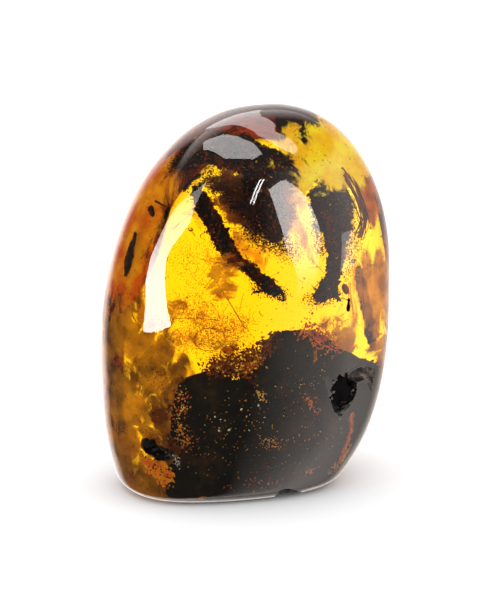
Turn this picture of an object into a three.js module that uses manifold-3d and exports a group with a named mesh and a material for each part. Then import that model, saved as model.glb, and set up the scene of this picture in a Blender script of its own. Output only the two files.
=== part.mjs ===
// A polished free-form piece of Baltic amber that stands on a small flat base.
// Clear yellow resin holds bark, humus and plant scraps, which were caught between two flows of
// the resin. The resin is parted along that flow seam, so each scrap lies in a pocket that is
// open to the seam. Natural pits are left in the polished skin, and the base edge is chipped.
//
// Millimetres, +Z up. The origin is the middle of the bounding box at the level of the base.
// The broad front face looks along -Y.

import * as THREE from "three";
import { mergeVertices } from "three/addons/utils/BufferGeometryUtils.js";
import Module from "manifold-3d";

const wasm = await Module();
wasm.setup();

// Driving dimensions of the outer form
const HEIGHT = 60.6;
const HALF_WIDTH = 22.95;
const HALF_DEPTH = 15.5;
const APEX = { x: 3.95, y: 0.5 };
const DOME_ROUNDNESS = 2.0;
const DOME_FULLNESS = 2.25;
const FLANK_TAPER = 3.4;
const SECTION_SQUARENESS = 0.035;
const BASE_EDGE_RADIUS = 2.2;

// The four flanks: height of the widest point, reach there, and reach at the base
const FLANKS = {
  right: { belly: 35.5, reach: HALF_WIDTH, base: 14.15, apex: APEX.x },
  left: { belly: 22.5, reach: HALF_WIDTH, base: 20.05, apex: -APEX.x },
  front: { belly: 24, reach: HALF_DEPTH, base: 12, apex: -APEX.y },
  back: { belly: 24, reach: HALF_DEPTH, base: 11.5, apex: APEX.y },
};

// How finely the outer form is faceted
const SIDES = 48;
const EDGE_RINGS = 3;
const FLANK_RINGS = 20;

// The gap round each scrap and along the seam
const GAP = 0.3;
// Clear resin left between a scrap and the polished skin
const SKIN = 1.2;

// The flow seam: on the middle line it comes forward from the apex down to the base, and it
// bows back towards both sides
const SEAM = { y: -5.5, height: 28, sideBow: 4.5, upBow: 3.0, downBow: 2.5, upSpan: 30 };

// Each scrap of bark or leaf is a chain of [x, z, half width] along the seam, with a half depth
const CROWN_ARCH = [
  [-10.4, 51.6, 1.3],
  [-8.6, 53.6, 2.3],
  [-5.4, 54.2, 2.9],
  [-1.6, 53.0, 3.0],
  [2.6, 51.2, 2.7],
  [6.0, 50.3, 2.0],
  [8.6, 49.9, 0.9],
];
const CROWN_ROOT = [
  [0.8, 51.6, 2.8],
  [0.9, 49.4, 3.5],
  [0.8, 47.2, 2.6],
  [0.6, 45.2, 3.2],
  [1.6, 43.4, 2.2],
  [2.8, 41.8, 0.9],
];
const SPLINTER = [
  [-8.3, 48.6, 0.5],
  [-7.4, 46.0, 1.2],
  [-6.3, 43.0, 1.4],
  [-5.1, 40.6, 1.3],
  [-3.6, 38.3, 1.2],
  [-1.8, 36.6, 0.9],
  [-0.2, 35.0, 1.0],
  [1.2, 33.5, 1.3],
  [3.0, 32.6, 0.5],
];
const SLAB = [
  [10.6, 48.6, 1.1],
  [11.3, 46.6, 2.8],
  [11.7, 43.8, 2.9],
  [12.0, 40.6, 1.9],
  [11.7, 37.6, 1.3],
  [11.4, 34.6, 1.2],
  [10.5, 32.4, 1.7],
  [8.6, 31.0, 0.9],
];
const STEM = [
  [15.0, 35.4, 0.4],
  [15.3, 33.4, 0.7],
  [15.6, 31.2, 0.75],
  [15.9, 29.0, 0.8],
  [16.2, 26.6, 0.75],
  [16.5, 24.0, 0.7],
  [16.7, 21.8, 0.4],
];
const LEFT_FLAKE = [
  [-17.0, 42.0, 0.4],
  [-17.6, 39.8, 0.8],
  [-18.0, 37.4, 0.8],
  [-18.4, 35.0, 0.3],
];
const UPPER_FLAKE = [
  [-14.8, 45.6, 0.5],
  [-13.9, 44.4, 1.0],
  [-13.4, 43.0, 0.5],
];
const LOWER_FLAKE = [
  [-15.0, 24.0, 0.5],
  [-15.4, 22.6, 1.0],
  [-15.4, 21.0, 1.0],
  [-15.1, 19.8, 0.4],
];

// The humus mass, as its outlines from the front and from above. Its top falls away towards the
// back by MASS_FALL for each millimetre, and its back lies MASS_BEHIND behind the seam.
const MASS_FRONT = [
  [-16.0, -3], [-15.6, 2.4], [-14.7, 5.3], [-14.6, 8.3], [-12.9, 10.9], [-14.1, 13.8],
  [-14.3, 15.9], [-14.2, 18.4], [-13.6, 21.0], [-12.0, 22.1], [-9.4, 22.8], [-8.3, 21.8],
  [-5.9, 21.0], [-3.6, 21.2], [-1.4, 22.6], [0.2, 24.6], [0.9, 27.3], [2.4, 28.7], [7.0, 28.2],
  [8.8, 27.1], [11.9, 24.7], [15.0, 23.4], [18.8, 21.7], [24, 19.5], [24, -3],
];
const MASS_PLAN = [[-18, -17], [-15.0, -11], [-12.5, -4], [-11, 4], [24, 4], [24, -17]];
const MASS_FALL = 0.3;
const MASS_BEHIND = 0.8;

// Natural pits in the skin and the chip under the front edge: centre, half sizes and lean
const PITS = [
  { at: [12.0, -14.2, 17.3], size: [3.3, 2.7, 3.7], lean: 0, seed: 3 },
  { at: [16.1, -12.3, 19.4], size: [2.5, 1.6, 1.4], lean: -12, seed: 8 },
  { at: [-17.1, -11.9, 10.5], size: [2.7, 1.3, 1.0], lean: 38, seed: 5 },
  { at: [12.8, -14.0, 31.3], size: [0.5, 0.8, 1.2], lean: -20, seed: 6 },
];
const CHIP = { at: [3.6, -12.4, 0], size: [3.3, 2.6, 2.1], lean: 0, seed: 12 };
const PIT_ROUGHNESS = 0.16;

const SCRAP_SIDES = 9;
const SCRAP_ROUGHNESS = 0.2;

const COLOURS = {
  resin: 0xf2a50c,
  humus: 0x1b1210,
  bark: 0x160f0b,
  leaf: 0x3a2410,
};

// A repeatable number from 0 to 1 for each index and seed
function chance(index, seed) {
  const wave = Math.sin(index * 12.9898 + seed * 78.233) * 43758.5453;
  return wave - Math.floor(wave);
}

// How far one flank stands from the middle line at height z
function reachOf(flank, z) {
  let reach;
  if (z >= flank.belly) {
    const up = Math.min((z - flank.belly) / (HEIGHT - flank.belly), 1);
    const dome = Math.pow(1 - Math.pow(up, DOME_ROUNDNESS), 1 / DOME_FULLNESS);
    reach = flank.apex + (flank.reach - flank.apex) * dome;
  } else {
    const down = (flank.belly - z) / flank.belly;
    reach = flank.reach - (flank.reach - flank.base) * Math.pow(down, FLANK_TAPER);
  }
  const below = Math.max((BASE_EDGE_RADIUS - z) / BASE_EDGE_RADIUS, 0);
  return reach - BASE_EDGE_RADIUS * (1 - Math.sqrt(1 - below * below));
}

// Heights of the rings: close together round the base edge and near the apex
function ringHeights() {
  const heights = [];
  for (let i = 0; i < EDGE_RINGS; i++)
    heights.push(BASE_EDGE_RADIUS * (1 - Math.cos(((i / EDGE_RINGS) * Math.PI) / 2)));
  for (let i = 0; i < FLANK_RINGS; i++) {
    const left = 1 - i / FLANK_RINGS;
    heights.push(BASE_EDGE_RADIUS + (HEIGHT - BASE_EDGE_RADIUS) * (1 - left * left));
  }
  return heights;
}

// The rounded-square outline of the amber at height z
function amberRing(z) {
  const right = reachOf(FLANKS.right, z);
  const left = -reachOf(FLANKS.left, z);
  const back = reachOf(FLANKS.back, z);
  const front = -reachOf(FLANKS.front, z);
  const square = SECTION_SQUARENESS;
  const ring = [];
  for (let i = 0; i < SIDES; i++) {
    const turn = (i / SIDES) * 2 * Math.PI;
    const across = (Math.cos(turn) - square * Math.cos(3 * turn)) / (1 - square);
    const deep = (Math.sin(turn) + square * Math.sin(3 * turn)) / (1 - square);
    ring.push([
      (right + left) / 2 + ((right - left) / 2) * across,
      (back + front) / 2 + ((back - front) / 2) * deep,
      z,
    ]);
  }
  return ring;
}

// A closed skin over a stack of rings with the same number of points, and a point at each end
function loft(rings, bottom, top) {
  const sides = rings[0].length;
  const points = [bottom, ...rings.flat(), top];
  const last = points.length - 1;
  const faces = [];
  for (let i = 0; i < sides; i++) {
    const next = (i + 1) % sides;
    faces.push(0, 1 + next, 1 + i);
    for (let r = 0; r < rings.length - 1; r++) {
      const a = 1 + r * sides + i;
      const b = 1 + r * sides + next;
      faces.push(a, b, b + sides, a, b + sides, a + sides);
    }
    faces.push(last, last - sides + i, last - sides + next);
  }
  const geometry = new THREE.BufferGeometry();
  geometry.setAttribute("position", new THREE.Float32BufferAttribute(points.flat(), 3));
  geometry.setIndex(faces);
  return geometry;
}

// Closed geometry as a solid that can be joined and cut
function solidOf(geometry) {
  const bare = geometry.clone();
  bare.deleteAttribute("normal");
  bare.deleteAttribute("uv");
  const merged = mergeVertices(bare, 1e-4);
  return new wasm.Manifold(
    new wasm.Mesh({
      numProp: 3,
      vertProperties: new Float32Array(merged.attributes.position.array),
      triVerts: new Uint32Array(merged.index.array),
    }),
  );
}

function amberGeometry() {
  const rings = ringHeights().map(amberRing);
  const footX = (FLANKS.right.base - FLANKS.left.base) / 2;
  const footY = (FLANKS.back.base - FLANKS.front.base) / 2;
  return loft(rings, [footX, footY, 0], [APEX.x, APEX.y, HEIGHT]);
}

// The whole form scaled down, so that about one wall is left outside it on every side
function insideOf(wall) {
  const inner = amberGeometry();
  inner.scale(1 - wall / HALF_WIDTH, 1 - wall / HALF_DEPTH, 1 - (2 * wall) / HEIGHT);
  inner.translate(0, 0, wall);
  return solidOf(inner);
}

function seamY(x, z) {
  const side = x / HALF_WIDTH;
  const up = (z - SEAM.height) / SEAM.upSpan;
  const bow = up > 0 ? SEAM.upBow : -SEAM.downBow;
  return SEAM.y + SEAM.sideBow * side * side + bow * up * up;
}

// A curved slab along the seam, wider and taller than the amber, from one depth to another
function seamSlab(from, to) {
  const slab = new THREE.BoxGeometry(3 * HALF_WIDTH, to - from, 1.5 * HEIGHT, 12, 1, 14);
  slab.translate(0, (from + to) / 2, HEIGHT / 2);
  const place = slab.attributes.position;
  for (let i = 0; i < place.count; i++)
    place.setY(i, place.getY(i) + seamY(place.getX(i), place.getZ(i)));
  return solidOf(slab);
}

// A ragged scrap that follows a chain of points on the seam, grown by a margin for its pocket
function scrap(chain, halfDepth, seed, margin) {
  const rings = [];
  const ends = [];
  chain.forEach(([x, z, halfWidth], step) => {
    const before = chain[Math.max(step - 1, 0)];
    const after = chain[Math.min(step + 1, chain.length - 1)];
    const along = new THREE.Vector2(after[0] - before[0], after[1] - before[1]).normalize();
    const isEnd = step === 0 ? -1 : step === chain.length - 1 ? 1 : 0;
    const centreX = x + along.x * margin * isEnd;
    const centreZ = z + along.y * margin * isEnd;
    const y = seamY(x, z);
    const ring = [];
    for (let i = 0; i < SCRAP_SIDES; i++) {
      const turn = (i / SCRAP_SIDES) * 2 * Math.PI;
      const rough = 1 + SCRAP_ROUGHNESS * (2 * chance(step * SCRAP_SIDES + i, seed) - 1);
      const wide = (halfWidth * rough + margin) * Math.cos(turn);
      const deep = (Math.min(halfDepth, 1.2 * halfWidth) * rough + margin) * Math.sin(turn);
      ring.push([centreX - along.y * wide, y - deep, centreZ + along.x * wide]);
    }
    rings.push(ring);
    if (isEnd) ends.push([centreX, y, centreZ]);
  });
  return solidOf(loft(rings, ends[0], ends[1])).intersect(insideOf(SKIN - margin));
}

// An outline moved outwards by a margin, corner by corner
function grown(outline, margin) {
  const corners = outline.map(([x, y]) => new THREE.Vector2(x, y));
  const clockwise = THREE.ShapeUtils.isClockWise(corners);
  return corners.map((corner, i) => {
    const before = corners[(i + corners.length - 1) % corners.length];
    const after = corners[(i + 1) % corners.length];
    const inward = corner.clone().sub(before).normalize();
    const outward = after.clone().sub(corner).normalize();
    const middle = inward.clone().add(outward).normalize();
    const normal = new THREE.Vector2(middle.y, -middle.x).multiplyScalar(clockwise ? -1 : 1);
    const stretch = 1 / Math.max(inward.dot(middle), 0.5);
    return corner.clone().addScaledVector(normal, margin * stretch);
  });
}

// A straight prism on an outline, long enough to pass right through the amber
function prism(outline, margin) {
  const length = 2 * HEIGHT;
  const shape = new THREE.Shape(grown(outline, margin));
  const geometry = new THREE.ExtrudeGeometry(shape, { depth: length, bevelEnabled: false });
  return geometry.translate(0, 0, -length / 2);
}

// Humus fills the lower front, under a thin clear skin
function humusMass(margin) {
  const front = prism(MASS_FRONT, margin).rotateX(Math.PI / 2);
  const place = front.attributes.position;
  for (let i = 0; i < place.count; i++)
    place.setZ(i, place.getZ(i) - MASS_FALL * (place.getY(i) + HALF_DEPTH));
  const plan = solidOf(prism(MASS_PLAN, margin));
  const behind = seamSlab(MASS_BEHIND + margin, 3 * HALF_DEPTH);
  let mass = insideOf(SKIN - margin).intersect(solidOf(front)).intersect(plan).subtract(behind);
  for (const pit of [...PITS, CHIP]) mass = mass.subtract(pitCutter(pit, SKIN - margin));
  return mass;
}

// A jagged lump that leaves a pit where it is cut away
function pitCutter({ at, size, lean, seed }, margin) {
  const lump = new THREE.IcosahedronGeometry(1, 2);
  lump.deleteAttribute("normal");
  lump.deleteAttribute("uv");
  const merged = mergeVertices(lump, 1e-3);
  const place = merged.attributes.position;
  const corner = new THREE.Vector3();
  const reach = new THREE.Vector3(...size).addScalar(margin);
  for (let i = 0; i < place.count; i++) {
    corner.fromBufferAttribute(place, i);
    corner.multiplyScalar(1 + PIT_ROUGHNESS * (2 * chance(i, seed) - 1)).multiply(reach);
    place.setXYZ(i, corner.x, corner.y, corner.z);
  }
  merged.rotateY(THREE.MathUtils.degToRad(lean));
  merged.translate(...at);
  return solidOf(merged);
}

function barkCrown(margin) {
  return scrap(CROWN_ARCH, 1.7, 21, margin).add(scrap(CROWN_ROOT, 1.9, 22, margin));
}

// Every scrap by name: its solid grown by a margin, and its colour
const SCRAPS = {
  humus_mass: { shape: humusMass, colour: COLOURS.humus },
  bark_crown: { shape: barkCrown, colour: COLOURS.bark },
  bark_splinter: { shape: (margin) => scrap(SPLINTER, 1.3, 23, margin), colour: COLOURS.bark },
  bark_slab: { shape: (margin) => scrap(SLAB, 1.8, 24, margin), colour: COLOURS.bark },
  plant_stem: { shape: (margin) => scrap(STEM, 0.7, 25, margin), colour: COLOURS.leaf },
  leaf_flake_left: { shape: (margin) => scrap(LEFT_FLAKE, 0.7, 26, margin), colour: COLOURS.leaf },
  leaf_flake_upper: { shape: (margin) => scrap(UPPER_FLAKE, 0.7, 27, margin), colour: COLOURS.leaf },
  leaf_flake_lower: { shape: (margin) => scrap(LOWER_FLAKE, 0.8, 28, margin), colour: COLOURS.leaf },
};

// The resin with its pockets, pits and chip cut out, parted along the seam: front half first
function resinHalves() {
  let resin = solidOf(amberGeometry());
  for (const pit of [...PITS, CHIP]) resin = resin.subtract(pitCutter(pit, 0));
  for (const { shape } of Object.values(SCRAPS)) resin = resin.subtract(shape(GAP));
  const halves = resin.subtract(seamSlab(-GAP / 2, GAP / 2)).decompose();
  return halves.sort((a, b) => a.boundingBox().min[1] - b.boundingBox().min[1]);
}

function meshOf(name, solid, material) {
  const { vertProperties, triVerts } = solid.getMesh();
  const geometry = new THREE.BufferGeometry();
  geometry.setAttribute("position", new THREE.BufferAttribute(vertProperties, 3));
  geometry.setIndex(new THREE.BufferAttribute(triVerts, 1));
  geometry.computeVertexNormals();
  const mesh = new THREE.Mesh(geometry, material);
  mesh.name = name;
  return mesh;
}

function resinMaterial() {
  return new THREE.MeshPhysicalMaterial({
    color: COLOURS.resin,
    roughness: 0.04,
    metalness: 0,
    transmission: 0.9,
    ior: 1.54,
    thickness: HALF_DEPTH,
  });
}

function scrapMaterial(colour) {
  return new THREE.MeshStandardMaterial({ color: colour, roughness: 0.8, metalness: 0 });
}

const amber = new THREE.Group();
amber.name = "baltic_amber";

const [frontHalf, backHalf] = resinHalves();
amber.add(meshOf("resin_front", frontHalf, resinMaterial()));
amber.add(meshOf("resin_back", backHalf, resinMaterial()));
for (const [name, { shape, colour }] of Object.entries(SCRAPS))
  amber.add(meshOf(name, shape(0), scrapMaterial(colour)));

export default amber;
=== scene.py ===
import math

import bpy
import numpy as np
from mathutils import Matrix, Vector


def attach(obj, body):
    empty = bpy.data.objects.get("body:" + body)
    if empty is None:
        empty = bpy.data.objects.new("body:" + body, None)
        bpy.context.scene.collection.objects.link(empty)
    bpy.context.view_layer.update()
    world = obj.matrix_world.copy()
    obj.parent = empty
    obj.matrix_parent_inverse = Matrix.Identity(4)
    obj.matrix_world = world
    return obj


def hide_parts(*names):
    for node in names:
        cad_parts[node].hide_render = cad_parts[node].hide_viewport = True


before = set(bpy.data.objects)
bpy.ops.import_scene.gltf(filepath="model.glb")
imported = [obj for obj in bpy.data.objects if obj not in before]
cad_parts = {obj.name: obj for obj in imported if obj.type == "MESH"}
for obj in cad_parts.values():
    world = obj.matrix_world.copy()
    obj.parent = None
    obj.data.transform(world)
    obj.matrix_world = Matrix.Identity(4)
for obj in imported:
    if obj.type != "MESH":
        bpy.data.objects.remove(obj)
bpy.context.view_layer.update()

MM = 0.001

# The clear resin
# One lump of fossil tree resin, ground to a leaning free form that stands on a small flat, and
# polished to a gloss. Its back keeps the shallow hollows of the raw lump. Pits are left in the
# skin where it was never filled, and a few gas bubbles are sealed inside.
HEIGHT = 60.6 * MM
HALF_WIDTH = 22.95 * MM
HALF_DEPTH = 15.5 * MM
APEX_X = 3.95 * MM
APEX_Y = 0.5 * MM
BASE_EDGE_RADIUS = 2.2 * MM
SECTION_SQUARENESS = 0.035
DOME_ROUNDNESS = 2.0
DOME_FULLNESS = 2.25
FLANK_TAPER = 3.4

# Each flank: height of its widest point, reach there, reach at the base, reach at the apex
RIGHT_FLANK = (35.5 * MM, HALF_WIDTH, 14.15 * MM, APEX_X)
LEFT_FLANK = (22.5 * MM, HALF_WIDTH, 20.05 * MM, -APEX_X)
FRONT_FLANK = (24 * MM, HALF_DEPTH, 12 * MM, -APEX_Y)
BACK_FLANK = (24 * MM, HALF_DEPTH, 11.5 * MM, APEX_Y)


def reach_of(flank, z):
    """How far one flank stands from the middle line at height z."""
    belly, reach, base, apex = flank
    if z >= belly:
        up = min((z - belly) / (HEIGHT - belly), 1.0)
        out = apex + (reach - apex) * (1 - up**DOME_ROUNDNESS) ** (1 / DOME_FULLNESS)
    else:
        out = reach - (reach - base) * ((belly - z) / belly) ** FLANK_TAPER
    below = max((BASE_EDGE_RADIUS - z) / BASE_EDGE_RADIUS, 0.0)
    return out - BASE_EDGE_RADIUS * (1 - math.sqrt(1 - below * below))


def ring_at(z):
    """The centre of the amber's outline at height z, and its half width and half depth."""
    right = reach_of(RIGHT_FLANK, z)
    left = -reach_of(LEFT_FLANK, z)
    back = reach_of(BACK_FLANK, z)
    front = -reach_of(FRONT_FLANK, z)
    centre = Vector(((right + left) / 2, (back + front) / 2, z))
    return centre, (right - left) / 2, (back - front) / 2


def take(piece):
    """Makes the piece the only selected and active object."""
    bpy.ops.object.select_all(action="DESELECT")
    piece.select_set(True)
    bpy.context.view_layer.objects.active = piece


def name_piece(name):
    """Names the object that was just added."""
    piece = bpy.context.object
    piece.name = name
    piece.data.name = name
    return piece


def apply_modifiers(piece):
    take(piece)
    for modifier in list(piece.modifiers):
        bpy.ops.object.modifier_apply(modifier=modifier.name)


def add_waves(piece, name, grain, strength, depth=0, level=0.5, group=""):
    """Adds a displacement by cloudy waves, each about one grain wide."""
    clouds = bpy.data.textures.new(name, type="CLOUDS")
    clouds.noise_scale = grain
    clouds.noise_depth = depth
    waves = piece.modifiers.new(name, "DISPLACE")
    waves.texture = clouds
    waves.texture_coords = "LOCAL"
    waves.strength = strength
    waves.mid_level = level
    waves.vertex_group = group


RESIN_SIDES = 64
EDGE_RINGS = 4
FLANK_RINGS = 26

heights = [BASE_EDGE_RADIUS * (1 - math.cos(i / EDGE_RINGS * math.pi / 2)) for i in range(EDGE_RINGS)]
heights += [
    BASE_EDGE_RADIUS + (HEIGHT - BASE_EDGE_RADIUS) * (1 - (1 - i / FLANK_RINGS) ** 2)
    for i in range(FLANK_RINGS)
]

bpy.ops.object.select_all(action="DESELECT")
bpy.ops.mesh.primitive_circle_add(vertices=RESIN_SIDES, radius=1.0, fill_type="NGON")
resin = name_piece("clear_resin")
for corner in resin.data.vertices:
    turn = math.atan2(corner.co.y, corner.co.x)
    corner.co.x = (math.cos(turn) - SECTION_SQUARENESS * math.cos(3 * turn)) / (1 - SECTION_SQUARENESS)
    corner.co.y = (math.sin(turn) + SECTION_SQUARENESS * math.sin(3 * turn)) / (1 - SECTION_SQUARENESS)

bpy.ops.object.mode_set(mode="EDIT")
bpy.ops.mesh.select_all(action="SELECT")
centre, half_width, half_depth = ring_at(heights[0])
bpy.ops.transform.resize(value=(half_width, half_depth, 1), center_override=(0, 0, 0))
bpy.ops.transform.translate(value=centre)
for height in heights[1:]:
    next_centre, next_width, next_depth = ring_at(height)
    bpy.ops.mesh.extrude_region_move(TRANSFORM_OT_translate={"value": next_centre - centre})
    widen = (next_width / half_width, next_depth / half_depth, 1)
    bpy.ops.transform.resize(value=widen, center_override=next_centre)
    centre, half_width, half_depth = next_centre, next_width, next_depth
apex = Vector((APEX_X, APEX_Y, HEIGHT))
bpy.ops.mesh.extrude_region_move(TRANSFORM_OT_translate={"value": apex - centre})
bpy.ops.mesh.merge(type="CENTER")
bpy.ops.mesh.select_all(action="SELECT")
bpy.ops.mesh.normals_make_consistent(inside=False)
bpy.ops.object.mode_set(mode="OBJECT")

subdivision = resin.modifiers.new("rounding", "SUBSURF")
subdivision.levels = 2
subdivision.render_levels = 2
apply_modifiers(resin)

# The polished front is only faintly wavy, and the back has wide shallow hollows
FRONT_WAVE = 0.12 * MM
BACK_HOLLOW = 1.1 * MM
BASE_KEPT_FLAT = 5 * MM
back_side = resin.vertex_groups.new(name="back")
skin = resin.vertex_groups.new(name="skin")
for corner in resin.data.vertices:
    above = min(max(corner.co.z / BASE_KEPT_FLAT - 0.2, 0.0), 1.0)
    behind = min(max(corner.co.y / HALF_DEPTH, 0.0), 1.0)
    back_side.add([corner.index], above * behind, "REPLACE")
    skin.add([corner.index], above, "REPLACE")
add_waves(resin, "raw_hollows", 13 * MM, BACK_HOLLOW, level=0.75, group="back")
add_waves(resin, "polish_waves", 7 * MM, FRONT_WAVE, group="skin")
apply_modifiers(resin)

# Amber takes blue away first, then green, so it turns from yellow to orange to red with depth
ABSORPTION_DENSITY = 600.0
ABSORPTION_COLOR = (0.992, 0.948, 0.0, 1.0)

amber = bpy.data.materials.new("clear_amber")
amber.use_nodes = True
shader = amber.node_tree.nodes["Principled BSDF"]
shader.inputs["Base Color"].default_value = (1.0, 1.0, 1.0, 1.0)
shader.inputs["Roughness"].default_value = 0.02
shader.inputs["IOR"].default_value = 1.54
shader.inputs["Transmission Weight"].default_value = 1.0
absorption = amber.node_tree.nodes.new("ShaderNodeVolumeAbsorption")
absorption.inputs["Color"].default_value = ABSORPTION_COLOR
absorption.inputs["Density"].default_value = ABSORPTION_DENSITY
output = amber.node_tree.nodes["Material Output"]
amber.node_tree.links.new(absorption.outputs["Volume"], output.inputs["Volume"])
resin.data.materials.append(amber)


def crumbly_group():
    """A shader group that mottles two colours and raises a crumbly relief."""
    group = bpy.data.node_groups.new("crumbly_matter", "ShaderNodeTree")
    for socket, kind in (("Dark", "NodeSocketColor"), ("Light", "NodeSocketColor"),
                         ("Grains per metre", "NodeSocketFloat"), ("Light share", "NodeSocketFloat")):
        group.interface.new_socket(name=socket, in_out="INPUT", socket_type=kind)
    for socket, kind in (("Color", "NodeSocketColor"), ("Height", "NodeSocketFloat")):
        group.interface.new_socket(name=socket, in_out="OUTPUT", socket_type=kind)
    nodes, links = group.nodes, group.links
    given = nodes.new("NodeGroupInput")
    made = nodes.new("NodeGroupOutput")
    place = nodes.new("ShaderNodeTexCoord")
    patches = nodes.new("ShaderNodeTexNoise")
    patches.inputs["Detail"].default_value = 8.0
    patches.inputs["Roughness"].default_value = 0.65
    share = nodes.new("ShaderNodeMath")
    share.operation = "SUBTRACT"
    share.inputs[0].default_value = 1.0
    sharper = nodes.new("ShaderNodeMapRange")
    sharper.inputs["To Max"].default_value = 2.0
    mix = nodes.new("ShaderNodeMix")
    mix.data_type = "RGBA"
    mix.clamp_factor = True
    links.new(place.outputs["Object"], patches.inputs["Vector"])
    links.new(given.outputs["Grains per metre"], patches.inputs["Scale"])
    links.new(given.outputs["Light share"], share.inputs[1])
    links.new(patches.outputs["Fac"], sharper.inputs["Value"])
    links.new(share.outputs[0], sharper.inputs["From Min"])
    links.new(sharper.outputs["Result"], mix.inputs["Factor"])
    links.new(given.outputs["Dark"], mix.inputs["A"])
    links.new(given.outputs["Light"], mix.inputs["B"])
    links.new(mix.outputs["Result"], made.inputs["Color"])
    links.new(patches.outputs["Fac"], made.inputs["Height"])
    return group


CRUMBLY = crumbly_group()


def crumbly_material(name, dark, light, grains, light_share, roughness, relief, gloss=0.04):
    """An opaque finish of crumbly matter: bark, humus, leaf or crust."""
    material = bpy.data.materials.new(name)
    material.use_nodes = True
    nodes, links = material.node_tree.nodes, material.node_tree.links
    shader = nodes["Principled BSDF"]
    shader.inputs["Roughness"].default_value = roughness
    shader.inputs["Specular IOR Level"].default_value = gloss
    matter = nodes.new("ShaderNodeGroup")
    matter.node_tree = CRUMBLY
    matter.inputs["Dark"].default_value = (*dark, 1.0)
    matter.inputs["Light"].default_value = (*light, 1.0)
    matter.inputs["Grains per metre"].default_value = grains
    matter.inputs["Light share"].default_value = light_share
    bump = nodes.new("ShaderNodeBump")
    bump.inputs["Distance"].default_value = relief
    links.new(matter.outputs["Color"], shader.inputs["Base Color"])
    links.new(matter.outputs["Height"], bump.inputs["Height"])
    links.new(bump.outputs["Normal"], shader.inputs["Normal"])
    return material


# Natural pits: outline from the front (x, z), where the cut starts and ends (y), narrowing there
PITS = {
    "tooth_pit": ([
        (8.6, 20.2), (9.3, 20.9), (10.0, 20.1), (10.7, 19.3), (11.4, 20.8), (12.0, 19.8), (12.6, 21.0),
        (13.4, 20.0), (14.2, 20.6), (15.0, 18.9), (15.2, 17.0), (14.6, 15.4), (13.4, 14.2), (11.6, 13.2),
        (10.4, 14.6), (9.7, 16.6), (9.0, 18.4),
    ], -14.4, -10.8, 0.6),
    "crust_flap": ([
        (12.3, 19.6), (13.6, 20.7), (15.0, 21.1), (16.5, 20.9), (18.0, 20.3), (18.6, 18.8), (17.6, 18.6),
        (18.2, 16.9), (18.8, 15.2), (17.9, 15.3), (16.9, 17.3), (16.2, 18.8), (14.9, 18.6), (13.3, 18.7),
    ], -14.0, -10.6, 0.9),
    "small_pit": ([
        (-19.6, 10.8), (-18.9, 12.2), (-18.3, 11.2), (-17.6, 11.9), (-16.9, 10.6), (-15.6, 10.2),
        (-14.6, 9.2), (-14.5, 8.2), (-15.9, 8.0), (-16.9, 7.6), (-17.6, 8.6), (-18.6, 8.6), (-19.3, 9.5),
    ], -13.0, -8.2, 0.6),
    "pin_pit": ([
        (12.4, 30.2), (12.9, 29.9), (13.4, 31.2), (13.2, 32.6), (12.7, 32.8), (12.6, 31.5),
    ], -15.0, -12.4, 0.5),
    "base_chip": ([
        (0.6, -1.0), (1.4, 1.2), (2.4, 2.4), (3.8, 2.2), (5.2, 1.5), (6.8, 1.0), (8.0, -1.0),
    ], -15.0, -8.6, 0.6),
}
PIT_ROUGHNESS = [(1.1 * MM, 0.7 * MM, 2), (0.35 * MM, 0.3 * MM, 2)]
PIT_MESH = 0.14 * MM
PIT_CLEAN_MESH = 0.12 * MM
flap = crumbly_material("crust_flap", dark=(0.02, 0.014, 0.01), light=(0.22, 0.15, 0.11),
                        grains=1100, light_share=0.5, roughness=0.35, relief=0.3 * MM, gloss=0.4)
# Pit walls: near black, partly crust and partly painted shade deep in the pits and in the base chip
crust_and_shade = crumbly_material("pit_crust_and_shade", dark=(0.004, 0.003, 0.002), light=(0.05, 0.035, 0.025),
                         grains=900, light_share=0.42, roughness=0.25, relief=0.3 * MM, gloss=0.5)


def outline_block(name, outline, front, back, narrowing):
    """A closed block on an outline seen from the front, narrower at its back."""
    sheet = bpy.data.meshes.new(name)
    sheet.from_pydata([(x * MM, front * MM, z * MM) for x, z in outline], [], [range(len(outline))])
    block = bpy.data.objects.new(name, sheet)
    bpy.context.scene.collection.objects.link(block)
    take(block)
    middle = sum((Vector((x, back, z)) for x, z in outline), Vector()) / len(outline) * MM
    bpy.ops.object.mode_set(mode="EDIT")
    bpy.ops.mesh.select_all(action="SELECT")
    bpy.ops.mesh.extrude_region_move(TRANSFORM_OT_translate={"value": (0, (back - front) * MM, 0)})
    bpy.ops.transform.resize(value=(narrowing, 1, narrowing), center_override=middle)
    bpy.ops.mesh.select_all(action="SELECT")
    bpy.ops.mesh.normals_make_consistent(inside=False)
    bpy.ops.object.mode_set(mode="OBJECT")
    return block


def roughen(piece, voxel, lumps, level=0.5):
    """Meshes the piece finely and raises lumps of each (grain, strength, depth) on it."""
    remesh = piece.modifiers.new("fine", "REMESH")
    remesh.mode = "VOXEL"
    remesh.voxel_size = voxel
    for step, (grain, strength, depth) in enumerate(lumps):
        add_waves(piece, f"{piece.name}_lumps_{step}", grain, strength, depth=depth, level=level)
    apply_modifiers(piece)


# Each pit is meshed twice, the second time to clear away what the lumps folded over
for name, (outline, front, back, narrowing) in PITS.items():
    cutter = outline_block(name, outline, front, back, narrowing)
    roughen(cutter, PIT_MESH, PIT_ROUGHNESS)
    roughen(cutter, PIT_CLEAN_MESH, [])
    cutter.data.materials.append(flap if name == "crust_flap" else crust_and_shade)
    cut = resin.modifiers.new("pit", "BOOLEAN")
    cut.object = cutter
    cut.operation = "DIFFERENCE"
    cut.solver = "MANIFOLD"
    cut.material_mode = "TRANSFER"
    apply_modifiers(resin)
    bpy.data.objects.remove(cutter)

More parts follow.
